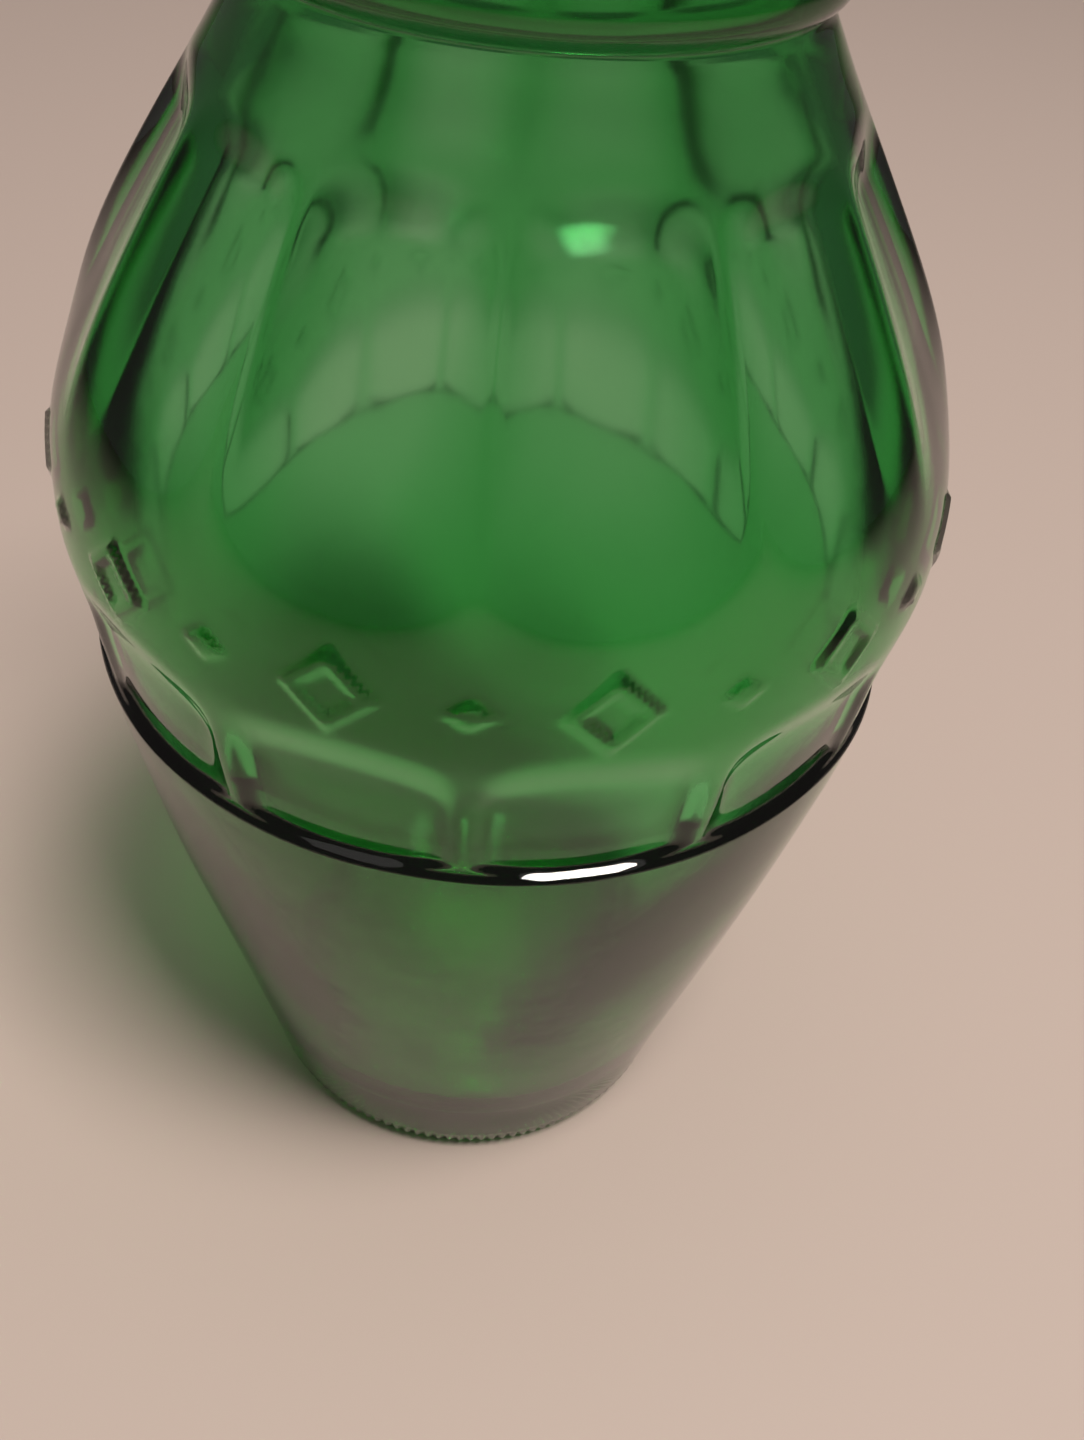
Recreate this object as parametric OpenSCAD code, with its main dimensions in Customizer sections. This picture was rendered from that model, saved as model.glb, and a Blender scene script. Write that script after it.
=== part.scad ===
// Fluted glass soda bottle with a crown closure.
// Millimetres. +Z is up, the origin is the centre of the standing ring.

/* [Bottle body] */
// Radius at the widest point of the bulge
bulge_r = 36; // [33:0.5:38]
// Height of the widest point
bulge_z = 72; // [70:0.5:74]
// Radius of the body just above the heel
heel_r = 22.7; // [21.5:0.1:24]
// Height at which the heel curve meets the body
heel_z = 4.5; // [4:0.1:6]
// Radius of the ring that the bottle stands on
standing_r = 19; // [18:0.1:20]
// Height of the push-up at the centre of the base
push_up = 4; // [2:0.1:6]
// Wall thickness of the body
wall = 2.8; // [2.6:0.1:3.2]
// Thickness of the glass over the push-up
floor_t = 4.5; // [3.5:0.1:6]

/* [Neck] */
// Radius of the shoulder where it meets the neck ring
shoulder_r = 19.6; // [19:0.1:20]
// Height of the lower edge of the neck ring
ring_z = 110; // [109:0.1:111]
// Radius of the neck ring
ring_r = 20.8; // [20.4:0.1:21.5]
// Height of the neck ring
ring_h = 4.2; // [4.1:0.1:6]
// Radius of the neck above the ring
neck_r = 17.4; // [17:0.1:17.8]

/* [Crown finish] */
// Height of the whole bottle without its crown
bottle_h = 166; // [160:0.5:172]
// Radius of the lip bead, 26.6 mm across on a crown finish
lip_r = 13.3; // [13.2:0.05:13.4]
// Height of the lip bead
lip_h = 4.2; // [4:0.1:4.6]
// Radius of the finish between the lip and the locking ring
finish_r = 12.2; // [11.9:0.1:12.3]
// Radius of the mouth bore
bore_r = 8; // [7.8:0.05:8.4]
// Length of the straight bore below the mouth
bore_h = 22; // [18:0.5:24]

/* [Flutes, panels and ornament] */
// Number of flutes round the shoulder
flutes = 12; // [10:1:12]
// Radius of the hollow of a flute or panel
flute_r = 26; // [24:1:32]
// Height of the ledge under the panels
panel_z = 57.5; // [55:0.5:60]
// Depth of the belt that the ridges between the panels stand in
belt = 0.5; // [0.3:0.1:0.7]
// Height that the ornament stands out of the glass
emboss = 0.5; // [0.3:0.1:0.8]
// Side of the large lozenges, which lie over the flutes
large_lozenge = 3.6; // [3:0.1:4]
// Side of the small lozenges, which lie over the ridges
small_lozenge = 2; // [1.6:0.1:2.6]
// Height of the centre of the ornament band
band_z = 75; // [74.5:0.1:75.5]

/* [Crown] */
// Sheet thickness of the crown
sheet = 0.24; // [0.22:0.01:0.28]
// Radius of the top of the crown where the skirt begins
crown_r = 13.9; // [13.8:0.05:14]
// Radius at the edge of the skirt
skirt_r = 14.9; // [14.7:0.05:15.2]
// Height of the crown
crown_h = 6; // [5.8:0.1:6.3]
// Number of corrugations round the skirt
corrugations = 21; // [18:1:24]
// Thickness of the liner
liner_t = 0.7; // [0.5:0.1:1]
// Height that the liner's sealing ring stands below it
seal_h = 0.35; // [0.2:0.05:0.5]

/* [Hidden] */
$fn = 96;

ring_top = ring_z + ring_h;
finish_z = bottle_h - 24;       // where the tapered neck meets the finish
lock_z = bottle_h - 17;         // height of the locking ring's centre
lock_r = 14;                    // radius of the locking ring
lip_edge = 1.6;                 // rounding of the lip
seal_gap = 0.05;                // clearance between the liner and the lip
curve_steps = 14;               // points along each long curve
corner_steps = 5;               // points along each short curve
hollow_top = ring_z - 3;        // where the inner shoulder meets the inner neck
pitch = 360 / flutes;
run_out = 4;                                        // how far a cutter runs on past its hollow
flute_low = [bulge_r - 0.1, bulge_z + 4.5];         // the outer wall where a flute starts
flute_high = [shoulder_r + 3, ring_z - 4.5];        // and where it ends
ledge_r = bulge_r - 1.7;                            // the outer wall at the ledge
belt_top = bulge_z - 4;                             // where the belt runs out into the outer wall
panel_low = [ledge_r - 1.15, panel_z];              // the foot of a panel, on the ledge
panel_high = [bulge_r - 0.1, bulge_z + 0.5];        // and the panel's top, where it meets the outer wall

// Point at t on the cubic curve with end points a, d and handles b, c
function cubic(a, b, c, d, t) =
    pow(1 - t, 3) * a + 3 * t * pow(1 - t, 2) * b + 3 * t * t * (1 - t) * c + pow(t, 3) * d;

// The curve from a to d without its first point
function curve(a, b, c, d, steps) =
    [for (i = [1 : steps]) cubic(a, b, c, d, i / steps)];

// An arc about a centre, from angle a0 to angle a1
function arc(centre, r, a0, a1, steps) =
    [for (i = [0 : steps]) let (a = a0 + (a1 - a0) * i / steps) centre + r * [cos(a), sin(a)]];

heel_top = [heel_r, heel_z];
bulge = [bulge_r, bulge_z];
shoulder_end = [shoulder_r, ring_z - 0.8];
belly_handle = [0.24, 1] * 22;          // slope of the lower body
shoulder_handle = [0.6, -1] * 16.5;     // slope of the shoulder

// Outside of the glass from the axis under the base up to the lip
function outside() = concat(
    [[0, push_up]],
    curve([0, push_up], [9, push_up], [14, 1.2], [standing_r - 1.5, 0.25], corner_steps),
    [[standing_r - 0.7, 0], [standing_r + 0.7, 0]],
    curve([standing_r + 0.7, 0], [heel_r - 0.8, 0.1], heel_top - belly_handle / 14, heel_top, corner_steps),
    curve(heel_top, heel_top + belly_handle, bulge - [0, 16], bulge, curve_steps),
    curve(bulge, bulge + [0, 14], shoulder_end + shoulder_handle, shoulder_end, curve_steps),
    arc([ring_r - 1.8, ring_z + 1.8], 1.8, -80, 0, corner_steps),
    arc([ring_r - 2.2, ring_top - 2.2], 2.2, 0, 90, corner_steps),
    curve([neck_r + 1, ring_top], [neck_r - 0.6, ring_top + 3], [finish_r + 0.2, finish_z - 14],
        [finish_r, finish_z], curve_steps),
    [[finish_r, lock_z - 2.4]],
    arc([lock_r - 1.6, lock_z - 0.3], 1.6, -70, 70, corner_steps),
    [[finish_r, lock_z + 2.6], [finish_r, bottle_h - lip_h - 0.8]],
    arc([lip_r - 1, bottle_h - lip_h + 1], 1, -60, 0, corner_steps),
    arc([lip_r - lip_edge, bottle_h - lip_edge], lip_edge, 0, 90, corner_steps));

floor_z = push_up + floor_t;
floor_r = heel_r - wall - 4.5;
in_heel = [heel_r - wall + 0.6, floor_z + 4];
in_bulge = bulge - [wall, 0];
in_shoulder = [shoulder_r - wall + 1, hollow_top];
in_foot = [floor_r, floor_z - 1.6];
in_neck = [bore_r, bottle_h - bore_h];
in_collar = [shoulder_r - wall - 0.6, ring_top - 2];

mouth_edge = [[bore_r + 0.6, bottle_h], [bore_r, bottle_h - 0.6]];

// Inside of the glass from the lower end of the straight bore down to the axis
function inside() = concat(
    [in_neck],
    curve(in_neck, in_neck - [0, 10], [13.6, ring_top + 9], in_collar, curve_steps),
    curve(in_collar, in_collar + [0.7, -3], in_shoulder + [-0.8, 2], in_shoulder, corner_steps),
    curve(in_shoulder, in_shoulder + shoulder_handle, in_bulge + [0, 13], in_bulge, curve_steps),
    curve(in_bulge, in_bulge - [0, 16], in_heel + belly_handle, in_heel, curve_steps),
    curve(in_heel, in_heel - [0.9, 2.6], in_foot + [3, -0.4], in_foot, corner_steps),
    curve(in_foot, in_foot + [-5, 0.8], [6, floor_z], [0, floor_z], corner_steps));

// One hollow cut by a cylinder whose near side runs from low to high, and on past each by a little
module hollow_cut(low, high, below, above) {
    tilt = atan2(high[0] - low[0], high[1] - low[1]);
    translate([low[0], 0, low[1]])
        rotate([0, tilt, 0])
            translate([flute_r, 0, -below])
                cylinder(r = flute_r, h = norm(high - low) + below + above, $fn = 64);
}

// Copies of a hollow for each gap between two ridges, with a ridge at the front
module round_the_bottle() {
    for (i = [0 : flutes - 1]) {
        rotate([0, 0, -90 + pitch / 2 + i * pitch])
            children();
    }
}

// Cuts the shallow belt above the ledge
module belt_cut() {
    rotate_extrude()
        polygon([
            [ledge_r - belt, panel_z], [bulge_r + 2, panel_z], [bulge_r + 2, belt_top], [bulge_r, belt_top]
        ]);
}

// A lozenge that stands out of the glass on the ornament band
module lozenge(size, turn) {
    rotate([0, 0, turn])
        translate([bulge_r - 2, 0, band_z])
            rotate([45, 0, 0])
                translate([0, -size / 2, -size / 2])
                    cube([2 + emboss - 0.2, size, size]);
}

module bottle() {
    color("seagreen", 0.6)
        difference() {
            union() {
                rotate_extrude()
                    polygon(concat(outside(), mouth_edge, inside()));
                for (i = [0 : 2 * flutes - 1]) {
                    lozenge(i % 2 == 0 ? small_lozenge : large_lozenge, -90 + i * pitch / 2);
                }
            }
            round_the_bottle() hollow_cut(flute_low, flute_high, run_out, run_out / 2);
            round_the_bottle() hollow_cut(panel_low, panel_high, 0, run_out);
            belt_cut();
        }
}

crown_top = bottle_h + seal_gap + seal_h + liner_t + sheet;
crown_edge = crown_top - crown_h;

// Section of the drawn cup, as a closed outline of constant thickness
function cup(g) = concat(
    [[0, crown_top - g]],
    arc([crown_r - 2, crown_top - 2], 2 - g, 90, 12, corner_steps),
    [[skirt_r - g, crown_edge]]);

function reversed(list) = [for (i = [len(list) - 1 : -1 : 0]) list[i]];

module crown_shell() {
    color("silver")
        difference() {
            rotate_extrude()
                polygon(concat(cup(0), reversed(cup(sheet))));
            for (i = [0 : corrugations - 1]) {
                rotate([0, 0, i * 360 / corrugations])
                    translate([skirt_r + 0.55, 0, crown_edge - 1])
                        cylinder(r = 0.7, h = 3.4, $fn = 24);
            }
        }
}

module crown_liner() {
    liner_top = crown_top - sheet;
    liner_r = crown_r - 2.4;
    color("gainsboro")
        difference() {
            translate([0, 0, bottle_h + seal_gap])
                cylinder(r = liner_r, h = liner_top - bottle_h - seal_gap);
            translate([0, 0, bottle_h + seal_gap - 1])
                cylinder(r = bore_r + 0.6, h = 1 + seal_h);
        }
}

bottle();
crown_shell();
crown_liner();
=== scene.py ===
"""Fluted green glass soda bottle with its crown closure.

Metres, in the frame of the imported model. Outlines are worked out in millimetres and scaled by MM.
"""
import math

import bpy
import numpy as np
from mathutils import Matrix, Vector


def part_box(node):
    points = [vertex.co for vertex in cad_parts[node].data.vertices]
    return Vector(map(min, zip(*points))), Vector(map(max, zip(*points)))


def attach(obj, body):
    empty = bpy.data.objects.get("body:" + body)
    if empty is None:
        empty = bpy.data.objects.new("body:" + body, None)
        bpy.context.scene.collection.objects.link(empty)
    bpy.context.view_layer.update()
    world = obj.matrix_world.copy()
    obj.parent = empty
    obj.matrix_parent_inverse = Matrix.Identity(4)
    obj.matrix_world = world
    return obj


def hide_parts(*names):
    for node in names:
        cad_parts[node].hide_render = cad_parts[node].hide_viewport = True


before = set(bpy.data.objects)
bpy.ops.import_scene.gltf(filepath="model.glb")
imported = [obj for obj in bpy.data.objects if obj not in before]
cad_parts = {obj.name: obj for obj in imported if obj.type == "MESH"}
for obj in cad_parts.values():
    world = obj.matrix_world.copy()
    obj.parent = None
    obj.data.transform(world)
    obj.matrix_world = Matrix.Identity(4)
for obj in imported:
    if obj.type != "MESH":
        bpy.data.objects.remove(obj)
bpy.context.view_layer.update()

MM = 0.001
BOTTLE_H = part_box("bottle")[1][2] / MM
CROWN_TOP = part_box("crown_shell")[1][2] / MM
CROWN_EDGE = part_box("crown_shell")[0][2] / MM
SKIRT_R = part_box("crown_shell")[1][0] / MM

# ---------------------------------------------------------------- sizes of the glass, in millimetres
BULGE_R, BULGE_Z = 36.0, 72.0
HEEL_R, HEEL_Z = 22.7, 4.5
STAND_R = 19.0
PUSH_UP, FLOOR_T, WALL = 4.0, 4.5, 2.8
SHOULDER_R, RING_Z, RING_R, RING_H = 19.6, 110.0, 20.8, 4.2
NECK_R, FINISH_R, LOCK_R, LIP_R, LIP_H = 17.4, 12.2, 14.0, 13.3, 4.2
BORE_R, BORE_H = 8.0, 22.0
FINISH_Z, LOCK_Z = BOTTLE_H - 24, BOTTLE_H - 17
RING_TOP = RING_Z + RING_H
BELLY_HANDLE = np.array([0.24, 1.0]) * 22
SHOULDER_HANDLE = np.array([0.6, -1.0]) * 16.5

FLUTES = 12
PANEL_Z = 57.5                  # the ledge under the panels
PITCH = 2 * math.pi / FLUTES
COLUMNS = 40 * FLUTES           # round the bottle, a multiple of the flutes
TICKS = 120                     # short ribs of the knurled heel
FLUTE_DEPTH, PANEL_DEPTH = 1.3, 0.65
BELT_DEPTH = 0.5                # depth of the belt that the ridges between the panels stand in
EMBOSS = 0.33                   # height of the ornament
BAND_Z = BULGE_Z + 3.0          # middle of the ornament
LARGE, SMALL = (2.7, 2.5), (1.9, 1.3)       # half width and half height of the lozenges


# ---------------------------------------------------------------- outlines
def curve(a, b, c, d, steps):
    """Cubic curve from a to d with handles b and c, without its first point."""
    a, b, c, d = (np.array(p, float) for p in (a, b, c, d))
    t = np.linspace(0, 1, steps + 1)[1:, None]
    return (1 - t) ** 3 * a + 3 * t * (1 - t) ** 2 * b + 3 * t * t * (1 - t) * c + t ** 3 * d


def arc(centre, r, start, end, steps):
    """Arc about a centre, from start to end in degrees."""
    turn = np.radians(np.linspace(start, end, steps + 1))
    return np.array(centre, float) + r * np.stack([np.cos(turn), np.sin(turn)], -1)


def resample(points, spacing):
    """Points a given distance apart along an outline."""
    length = np.concatenate([[0], np.cumsum(np.linalg.norm(np.diff(points, axis=0), axis=1))])
    wanted = np.linspace(0, length[-1], max(2, round(length[-1] / spacing) + 1))
    return np.stack([np.interp(wanted, length, points[:, k]) for k in (0, 1)], -1)


def outside():
    """Outside of the glass from the axis under the base up to the top of the lip."""
    heel = np.array([HEEL_R, HEEL_Z])
    bulge = np.array([BULGE_R, BULGE_Z])
    shoulder = np.array([SHOULDER_R, RING_Z - 0.8])
    side = curve(heel, heel + BELLY_HANDLE, bulge - [0, 16], bulge, 240)
    below, above = side[:, 1] < PANEL_Z - 0.5, side[:, 1] > PANEL_Z + 1.6
    stretches = [
        ([[0.4, PUSH_UP]], 1.2),
        (curve([0.4, PUSH_UP], [9, PUSH_UP], [14, 1.2], [STAND_R - 1.5, 0.25], 40), 1.2),
        (curve([STAND_R - 1.5, 0.25], [STAND_R - 1.1, 0.05], [STAND_R - 1, 0], [STAND_R - 0.7, 0], 6), 0.5),
        (curve([STAND_R - 0.7, 0], [STAND_R, 0], [STAND_R, 0], [STAND_R + 0.7, 0], 2), 0.7),
        (curve([STAND_R + 0.7, 0], [HEEL_R - 0.8, 0.1], heel - BELLY_HANDLE / 14, heel, 30), 0.35),
        (side[below], 0.55),
        (side[~below & ~above], 0.12),
        (side[above], 0.5),
        (curve(bulge, bulge + [0, 14], shoulder + SHOULDER_HANDLE, shoulder, 120), 0.42),
        (arc([RING_R - 1.8, RING_Z + 1.8], 1.8, -80, 0, 20), 0.25),
        (arc([RING_R - 2.2, RING_TOP - 2.2], 2.2, 0, 90, 20), 0.3),
        (curve([NECK_R + 1, RING_TOP], [NECK_R - 0.6, RING_TOP + 3], [FINISH_R + 0.2, FINISH_Z - 14],
               [FINISH_R, FINISH_Z], 60), 1.0),
        (np.array([[FINISH_R, LOCK_Z - 2.4]]), 0.8),
        (arc([LOCK_R - 1.6, LOCK_Z - 0.3], 1.6, -70, 70, 20), 0.3),
        (np.array([[FINISH_R, LOCK_Z + 2.6], [FINISH_R, BOTTLE_H - LIP_H - 0.8]]), 0.8),
        (arc([LIP_R - 1, BOTTLE_H - LIP_H + 1], 1, -60, 0, 12), 0.25),
        (arc([LIP_R - 1.6, BOTTLE_H - 1.6], 1.6, 0, 90, 16), 0.25),
    ]
    rows, last = [], None
    for points, spacing in stretches:
        points = np.array(points, float)
        line = points if last is None else np.concatenate([[last], points])
        if len(line) > 1:
            line = resample(line, spacing)
        rows.append(line if last is None else line[1:])
        last = points[-1]
    return np.concatenate(rows)


def inside():
    """Inside of the glass from the lower end of the bore down to the axis."""
    floor_z = PUSH_UP + FLOOR_T
    neck = np.array([BORE_R, BOTTLE_H - BORE_H])
    collar = np.array([SHOULDER_R - WALL - 0.6, RING_TOP - 2])
    shoulder = np.array([SHOULDER_R - WALL + 1, RING_Z - 3])
    bulge = np.array([BULGE_R - WALL, BULGE_Z])
    heel = np.array([HEEL_R - WALL + 0.6, floor_z + 4])
    foot = np.array([HEEL_R - WALL - 4.5, floor_z - 1.6])
    return np.concatenate([
        [neck],
        curve(neck, neck - [0, 10], [13.6, RING_TOP + 9], collar, 60),
        curve(collar, collar + [0.7, -3], shoulder + [-0.8, 2], shoulder, 20),
        curve(shoulder, shoulder + SHOULDER_HANDLE, bulge + [0, 13], bulge, 90),
        curve(bulge, bulge - [0, 16], heel + BELLY_HANDLE, heel, 90),
        curve(heel, heel - [0.9, 2.6], foot + [3, -0.4], foot, 30),
        curve(foot, foot + [-5, 0.8], [6, floor_z], [0.4, floor_z], 30),
    ])


# ---------------------------------------------------------------- relief on the outside of the glass
def step(x, low, high):
    """Smooth rise from 0 at low to 1 at high."""
    t = np.clip((x - low) / (high - low), 0, 1)
    return t * t * (3 - 2 * t)


def across(turn):
    """Place across a flute: 0 in its middle, 1 on the ridge beside it. A ridge faces the front."""
    return np.abs(((turn + math.pi / 2) / PITCH) % 1 - 0.5) * 2


def hollow(u, z, ridge, bottom, top, power=2.6):
    """How deep a hollow is, from 0 outside it to 1 in its middle. Each end is (height, rise, edge)."""
    inner = np.clip(u / ridge, 0, 1)
    bow = 1 - np.sqrt(np.clip(1 - inner ** 2, 0, 1))
    low = bottom[0] + bottom[1] * bow
    high = top[0] - top[1] * bow
    return step(z, low, low + bottom[2]) * (1 - step(z, high - top[2], high)) * (1 - inner ** power)


def lozenge(x, z, width, height):
    """1 on the outline of a lozenge, falling to 0 either side of it."""
    away = np.abs(np.abs(x) / width + np.abs(z) / height - 1) * height * 0.7
    return 1 - step(away, 0.25, 0.62)


def ornament(turn, r, z):
    """A band of plain lozenges, outlined and solid by turns."""
    count = 2 * FLUTES
    place = (turn + math.pi / 2) / (2 * math.pi) * count
    cell = np.round(place)
    x = (place - cell) * 2 * math.pi / count * r
    odd = np.mod(cell, 2)
    height = z - BAND_Z
    large = lozenge(x, height, *LARGE)
    small = 1 - step(np.abs(x) / SMALL[0] + np.abs(height) / SMALL[1], 0.7, 1.05)
    return np.where(odd > 0.5, large, small)


def relief(turn, r, z):
    """Distance in millimetres that the surface stands out of its outline."""
    u = across(turn)
    out = -FLUTE_DEPTH * hollow(u, z, 0.95, (76.8, 3.0, 14.0), (104.2, 1.8, 3.8))
    belt = step(z, PANEL_Z, PANEL_Z + 0.45) * (1 - step(z, 65, 71.5))
    panel = hollow(u, z, 0.93, (PANEL_Z, 1.4, 0.5), (72.0, 3.6, 5.0), 9)
    out -= BELT_DEPTH * belt + PANEL_DEPTH * panel
    out += EMBOSS * ornament(turn, r, z)
    knurl = step(z, 0.7, 1.3) * (1 - step(z, 2.9, 3.6))
    out += knurl * (0.16 * np.cos(turn * TICKS) - 0.1)
    body = step(z, 5, 10) * (1 - step(z, 105, 109))
    wave = 0.05 * np.sin(3 * turn + z / 9) + 0.035 * np.sin(7 * turn - z / 6 + 1.3)
    wave += 0.02 * np.sin(13 * turn + z / 4.1 + 0.4)
    return out + body * wave - body * 0.1


def unevenness(turn, z):
    """Slow waves of the inside wall, which the mould doesn't touch."""
    body = step(z, 9, 20) * (1 - step(z, 120, 140))
    wave = 0.16 * np.sin(2 * turn + z / 17) + 0.1 * np.sin(5 * turn - z / 11 + 0.7)
    return body * (wave + 0.05 * np.sin(9 * turn + z / 6.5 + 2.1) - 0.05)


# ---------------------------------------------------------------- meshes
def revolve(name, line, columns, shift=None, ends=(None, None)):
    """Mesh of an outline turned round the axis. shift moves a point out along its normal."""
    line = np.array(line, float)
    rows = len(line)
    turn = np.linspace(0, 2 * math.pi, columns, endpoint=False)
    grid_turn = np.broadcast_to(turn, (rows, columns))
    r = np.repeat(line[:, :1], columns, 1)
    z = np.repeat(line[:, 1:], columns, 1)
    if shift is not None:
        along = np.gradient(line, axis=0)
        along /= np.linalg.norm(along, axis=1, keepdims=True) + 1e-12
        move = shift(grid_turn, r, z)
        r, z = r + along[:, 1:] * move, z - along[:, :1] * move
    points = np.stack([r * np.cos(grid_turn), r * np.sin(grid_turn), z], -1).reshape(-1, 3)
    i = np.arange(rows - 1)[:, None]
    j = np.arange(columns)[None, :]
    k = (j + 1) % columns
    here, above = i * columns, (i + 1) * columns
    quads = np.stack([here + j, here + k, above + k, above + j], -1)
    faces = quads.reshape(-1, 4).tolist()
    points = points.tolist()
    for end, row in zip(ends, (0, rows - 1)):
        if end is not None:
            points.append([0, 0, end])
            centre = len(points) - 1
            for a in range(columns):
                b = (a + 1) % columns
                pair = (row * columns + b, row * columns + a)
                faces.append([centre, *(pair if row == 0 else pair[::-1])])
    mesh = bpy.data.meshes.new(name)
    mesh.from_pydata([[c * MM for c in p] for p in points], [], faces)
    mesh.polygons.foreach_set("use_smooth", [True] * len(mesh.polygons))
    mesh.update()
    piece = bpy.data.objects.new(name, mesh)
    bpy.context.scene.collection.objects.link(piece)
    return piece


# ---------------------------------------------------------------- materials
def material(name):
    """A node material, its tree, its Principled shader and its output."""
    made = bpy.data.materials.new(name)
    made.use_nodes = True
    tree = made.node_tree
    return made, tree, tree.nodes["Principled BSDF"], tree.nodes["Material Output"]


def node(tree, kind, settings=None, **inputs):
    """Adds a node with its input values set. A socket as a value is linked."""
    added = tree.nodes.new(kind)
    for key, value in (settings or {}).items():
        setattr(added, key, value)
    for key, value in inputs.items():
        socket = added.inputs[key.replace("_", " ")]
        if isinstance(value, bpy.types.NodeSocket):
            tree.links.new(value, socket)
        else:
            socket.default_value = value
    return added


def noise(tree, scale, detail=3.0, roughness=0.5):
    """Noise over the piece in its own coordinates."""
    place = node(tree, "ShaderNodeTexCoord")
    made = node(tree, "ShaderNodeTexNoise", Scale=scale, Detail=detail, Roughness=roughness)
    tree.links.new(place.outputs["Object"], made.inputs["Vector"])
    return made.outputs["Fac"]


def spread(tree, value, low, high, to_low, to_high):
    """Maps a value from one range to another."""
    made = node(tree, "ShaderNodeMapRange")
    tree.links.new(value, made.inputs["Value"])
    for key, number in (("From Min", low), ("From Max", high), ("To Min", to_low), ("To Max", to_high)):
        made.inputs[key].default_value = number
    return made.outputs["Result"]


def bump(tree, shader, height, strength, distance):
    """Bumps a shader's surface with a height."""
    made = node(tree, "ShaderNodeBump", Strength=strength, Distance=distance)
    tree.links.new(height, made.inputs["Height"])
    tree.links.new(made.outputs["Normal"], shader.inputs["Normal"])


def let_lamps_through(tree, shader, output):
    """Shadow rays pass a clear surface, dimmed where they graze it and would be bent away."""
    path = node(tree, "ShaderNodeLightPath")
    weight = node(tree, "ShaderNodeLayerWeight", Blend=0.5)
    tint = node(tree, "ShaderNodeValToRGB")
    for element, (place, colour) in zip(tint.color_ramp.elements, SHADOW_TINTS):
        element.position = place
        element.color = colour
    tree.links.new(weight.outputs["Facing"], tint.inputs["Fac"])
    clear = node(tree, "ShaderNodeBsdfTransparent", Color=tint.outputs["Color"])
    mix = tree.nodes.new("ShaderNodeMixShader")
    tree.links.new(path.outputs["Is Shadow Ray"], mix.inputs["Fac"])
    tree.links.new(shader.outputs[0], mix.inputs[1])
    tree.links.new(clear.outputs[0], mix.inputs[2])
    tree.links.new(mix.outputs[0], output.inputs["Surface"])


GLASS_IOR = 1.51
INNER_HAZE = 0.12                         # roughness of the inner wall, which blurs what lies beyond
# How a shadow ray is tinted where it meets the glass square on, and where it grazes it
SHADOW_TINTS = ((0.35, (0.93, 0.92, 0.88, 1)), (0.95, (0.22, 0.17, 0.18, 1)))
GLASS_DENSITY = 470.0                     # absorption per metre where the colour is black
GLASS_COLOUR = (0.0, 0.74, 0.20, 1)       # share of the density that each colour is spared


def glass():
    """Green glass, absorbing along the light's way through it, with faint smears and mould waves."""
    made, tree, shader, output = material("bottle_glass")
    shader.inputs["Base Color"].default_value = (1, 1, 1, 1)
    shader.inputs["Transmission Weight"].default_value = 1
    shader.inputs["IOR"].default_value = GLASS_IOR
    smears = spread(tree, noise(tree, 70, 4, 0.6), 0.45, 0.75, 0.0, 0.05)
    haze = node(tree, "ShaderNodeAttribute", {"attribute_name": "inner_wall"})
    both = node(tree, "ShaderNodeMath", {"operation": "MULTIPLY_ADD"})
    both.inputs[1].default_value = INNER_HAZE
    tree.links.new(haze.outputs["Fac"], both.inputs[0])
    tree.links.new(smears, both.inputs[2])
    tree.links.new(both.outputs[0], shader.inputs["Roughness"])
    bump(tree, shader, noise(tree, 160, 2, 0.4), 0.06, 0.0006)
    volume = node(tree, "ShaderNodeVolumeAbsorption", Color=GLASS_COLOUR, Density=GLASS_DENSITY)
    tree.links.new(volume.outputs[0], output.inputs["Volume"])
    let_lamps_through(tree, shader, output)
    return made


def tinplate():
    """Bright tinplate with fine scuffs and a faint lacquer tone."""
    made, tree, shader, _ = material("crown_tinplate")
    shader.inputs["Metallic"].default_value = 1
    tone = node(tree, "ShaderNodeValToRGB")
    tone.color_ramp.elements[0].color = (0.60, 0.59, 0.55, 1)
    tone.color_ramp.elements[1].color = (0.80, 0.79, 0.76, 1)
    tree.links.new(noise(tree, 220, 5, 0.65), tone.inputs["Fac"])
    tree.links.new(tone.outputs["Color"], shader.inputs["Base Color"])
    tree.links.new(spread(tree, noise(tree, 900, 4, 0.7), 0.35, 0.7, 0.18, 0.42), shader.inputs["Roughness"])
    bump(tree, shader, noise(tree, 1500, 3, 0.6), 0.12, 0.0002)
    return made


def liner_plastic():
    """Pale moulded liner with a faint flow mottle."""
    made, tree, shader, _ = material("liner_plastic")
    tone = node(tree, "ShaderNodeValToRGB")
    tone.color_ramp.elements[0].color = (0.70, 0.69, 0.64, 1)
    tone.color_ramp.elements[1].color = (0.83, 0.82, 0.78, 1)
    tree.links.new(noise(tree, 400, 4), tone.inputs["Fac"])
    tree.links.new(tone.outputs["Color"], shader.inputs["Base Color"])
    tree.links.new(spread(tree, noise(tree, 700), 0.3, 0.7, 0.42, 0.6), shader.inputs["Roughness"])
    shader.inputs["Subsurface Weight"].default_value = 0.1
    bump(tree, shader, noise(tree, 1200), 0.1, 0.0002)
    return made


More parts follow.
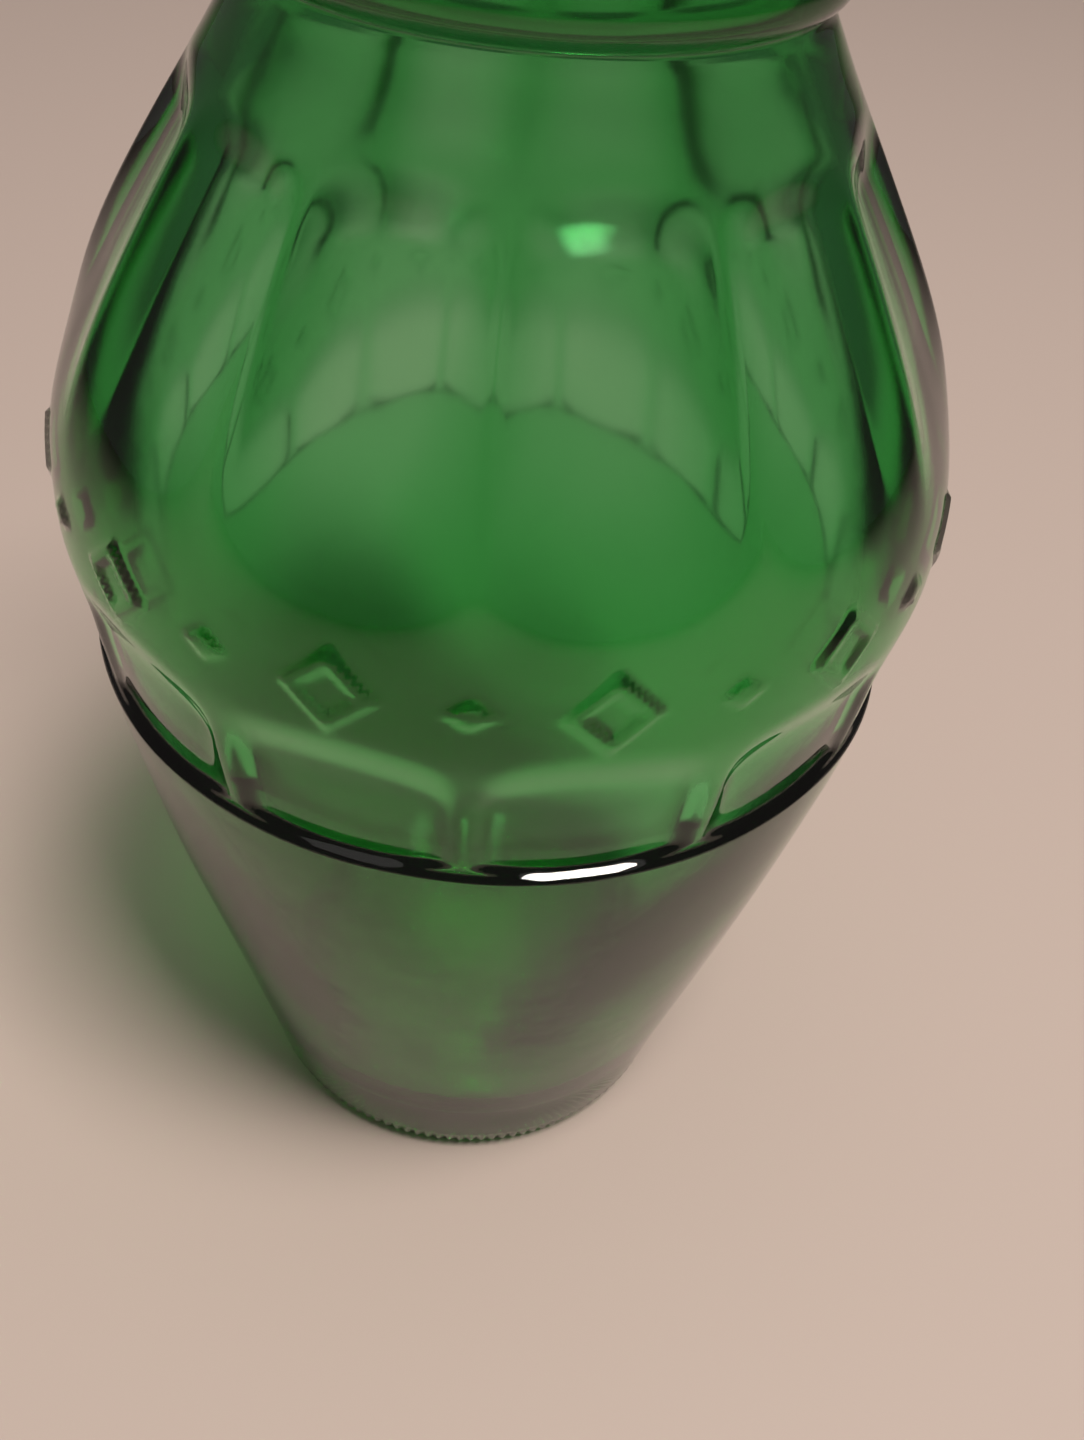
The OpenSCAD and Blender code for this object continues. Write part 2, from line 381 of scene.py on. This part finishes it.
# ---------------------------------------------------------------- pieces
def make_bottle():
    """The glass: outside with its relief, lip, and uneven inside, as one closed surface."""
    outer = outside()
    inner = resample(inside(), 0.9)
    lip = np.concatenate([
        curve(outer[-1], outer[-1] - [1.2, 0], [BORE_R + 1.6, BOTTLE_H], [BORE_R + 0.8, BOTTLE_H - 0.1], 5),
        curve([BORE_R + 0.8, BOTTLE_H - 0.1], [BORE_R + 0.2, BOTTLE_H - 0.3], [BORE_R, BOTTLE_H - 0.6],
              [BORE_R, BOTTLE_H - 1.2], 5),
        resample(np.array([[BORE_R, BOTTLE_H - 2.2], [BORE_R, BOTTLE_H - BORE_H + 0.9]]), 1.5),
    ])
    line = np.concatenate([outer, lip, inner])
    first_inner = len(outer) + len(lip)

    def shift(turn, r, z):
        move = np.zeros_like(r)
        move[: len(outer)] = relief(turn[: len(outer)], r[: len(outer)], z[: len(outer)])
        move[first_inner:] = -unevenness(turn[first_inner:], z[first_inner:])
        return move

    piece = revolve("green_glass_bottle", line, COLUMNS, shift, ends=(PUSH_UP, PUSH_UP + FLOOR_T))
    within = np.repeat(np.arange(len(line)) >= len(outer), COLUMNS)
    within = np.append(within, [False, True]).astype(float)
    piece.data.attributes.new("inner_wall", "FLOAT", "POINT").data.foreach_set("value", within)
    piece.data.materials.append(glass())
    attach(piece, "glass_bottle")
    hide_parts("bottle")


CROWN_R, SHEET, CORRUGATIONS = 13.9, 0.24, 21


def make_crown():
    """The crown: drawn cup with a corrugated skirt, of even sheet thickness."""
    top = np.concatenate([
        resample(np.array([[0.4, CROWN_TOP], [CROWN_R - 2, CROWN_TOP]]), 0.8),
        arc([CROWN_R - 2, CROWN_TOP - 2], 2, 88, 12, 14),
    ])
    edge = np.array([SKIRT_R - 0.05, CROWN_EDGE + 0.06])
    skirt = curve(top[-1], top[-1] + [0.3, -1.3], edge + [-0.4, 1.54], edge, 16)
    outer = np.concatenate([top, skirt])
    along = np.gradient(outer, axis=0)
    along /= np.linalg.norm(along, axis=1, keepdims=True)
    inner = outer + np.stack([along[:, 1], -along[:, 0]], -1) * SHEET
    inner[0] = [0.4, CROWN_TOP - SHEET]
    line = np.concatenate([inner, outer[::-1]])

    def shift(turn, r, z):
        pinch = 0.42 * step(CROWN_TOP - z, 1.8, 5.4) * (0.5 - 0.5 * np.cos(turn * CORRUGATIONS))
        inner_rows = np.arange(len(line))[:, None] < len(inner)
        return np.where(inner_rows, pinch, -pinch)

    piece = revolve("crown_cap", line, CORRUGATIONS * 20, shift, ends=(CROWN_TOP - SHEET, CROWN_TOP))
    piece.data.materials.append(tinplate())
    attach(piece, "crown")
    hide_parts("crown_shell")


# ---------------------------------------------------------------- camera, floor and light
BOTTLE_TURN = math.radians(1.6)           # the camera stands this far round from the front ridge
CAMERA_REACH, CAMERA_H = 0.1016, 0.1350
CAMERA_YAW, CAMERA_PITCH, CAMERA_ROLL = 3.13, 42.24, 6.24          # degrees
FOCAL_SHARE = 0.9743                      # focal length over the height of the picture


def make_camera():
    """Close above the shoulder, looking down the front of the bottle."""
    yaw, pitch, roll = (math.radians(a) for a in (CAMERA_YAW, CAMERA_PITCH, CAMERA_ROLL))
    ahead = np.array([math.sin(yaw) * math.cos(pitch), math.cos(yaw) * math.cos(pitch), -math.sin(pitch)])
    level = np.array([math.cos(yaw), -math.sin(yaw), 0])
    above = np.cross(level, ahead)
    right = math.cos(roll) * level + math.sin(roll) * above
    up = -math.sin(roll) * level + math.cos(roll) * above
    turned = Matrix.Rotation(BOTTLE_TURN, 4, "Z")
    place = (0, -CAMERA_REACH, CAMERA_H)
    axes = Matrix([[*row] for row in zip(right, up, -ahead, place)] + [[0, 0, 0, 1]])
    data = bpy.data.cameras.new("photo_camera")
    data.sensor_fit = "VERTICAL"
    data.sensor_height = 36
    data.lens = FOCAL_SHARE * data.sensor_height
    data.clip_start = 0.005
    camera = bpy.data.objects.new("photo_camera", data)
    camera.matrix_world = turned @ axes
    bpy.context.scene.collection.objects.link(camera)
    bpy.context.scene.camera = camera


def make_floor():
    """Plain pale table top."""
    mesh = bpy.data.meshes.new("table_top")
    half = 3.0
    corners = [(-half, -half, 0), (half, -half, 0), (half, half, 0), (-half, half, 0)]
    mesh.from_pydata(corners, [], [(0, 1, 2, 3)])
    floor = bpy.data.objects.new("table_top", mesh)
    bpy.context.scene.collection.objects.link(floor)
    made, tree, shader, _ = material("pale_table")
    shader.inputs["Base Color"].default_value = (0.53, 0.43, 0.385, 1)
    shader.inputs["Roughness"].default_value = 0.6
    mesh.materials.append(made)


def make_light(name, place, size, power, colour):
    """Square soft light that faces the bottle."""
    data = bpy.data.lights.new(name, "AREA")
    data.energy, data.size, data.color = power, size, colour
    light = bpy.data.objects.new(name, data)
    light.location = place
    aim = Matrix.Translation(place).to_translation() - Matrix.Translation((0, 0, 0.07)).to_translation()
    light.rotation_euler = aim.to_track_quat("Z", "Y").to_euler()
    bpy.context.scene.collection.objects.link(light)


def make_world():
    """Dim warm room."""
    world = bpy.data.worlds.new("room")
    world.use_nodes = True
    sky = world.node_tree.nodes["Background"]
    sky.inputs["Color"].default_value = (0.42, 0.38, 0.36, 1)
    sky.inputs["Strength"].default_value = 0.3
    bpy.context.scene.world = world
    bpy.context.scene.view_settings.view_transform = "Standard"


make_camera()
make_floor()
make_world()
make_light("key", (0.25, -0.31, 1.12), 0.32, 13, (1.0, 0.93, 0.86))
make_light("fill", (0.1, 0.0, 1.25), 1.3, 2.8, (1.0, 0.96, 0.93))
make_bottle()
make_crown()
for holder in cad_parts["crown_liner"].material_slots:
    holder.material = liner_plastic()
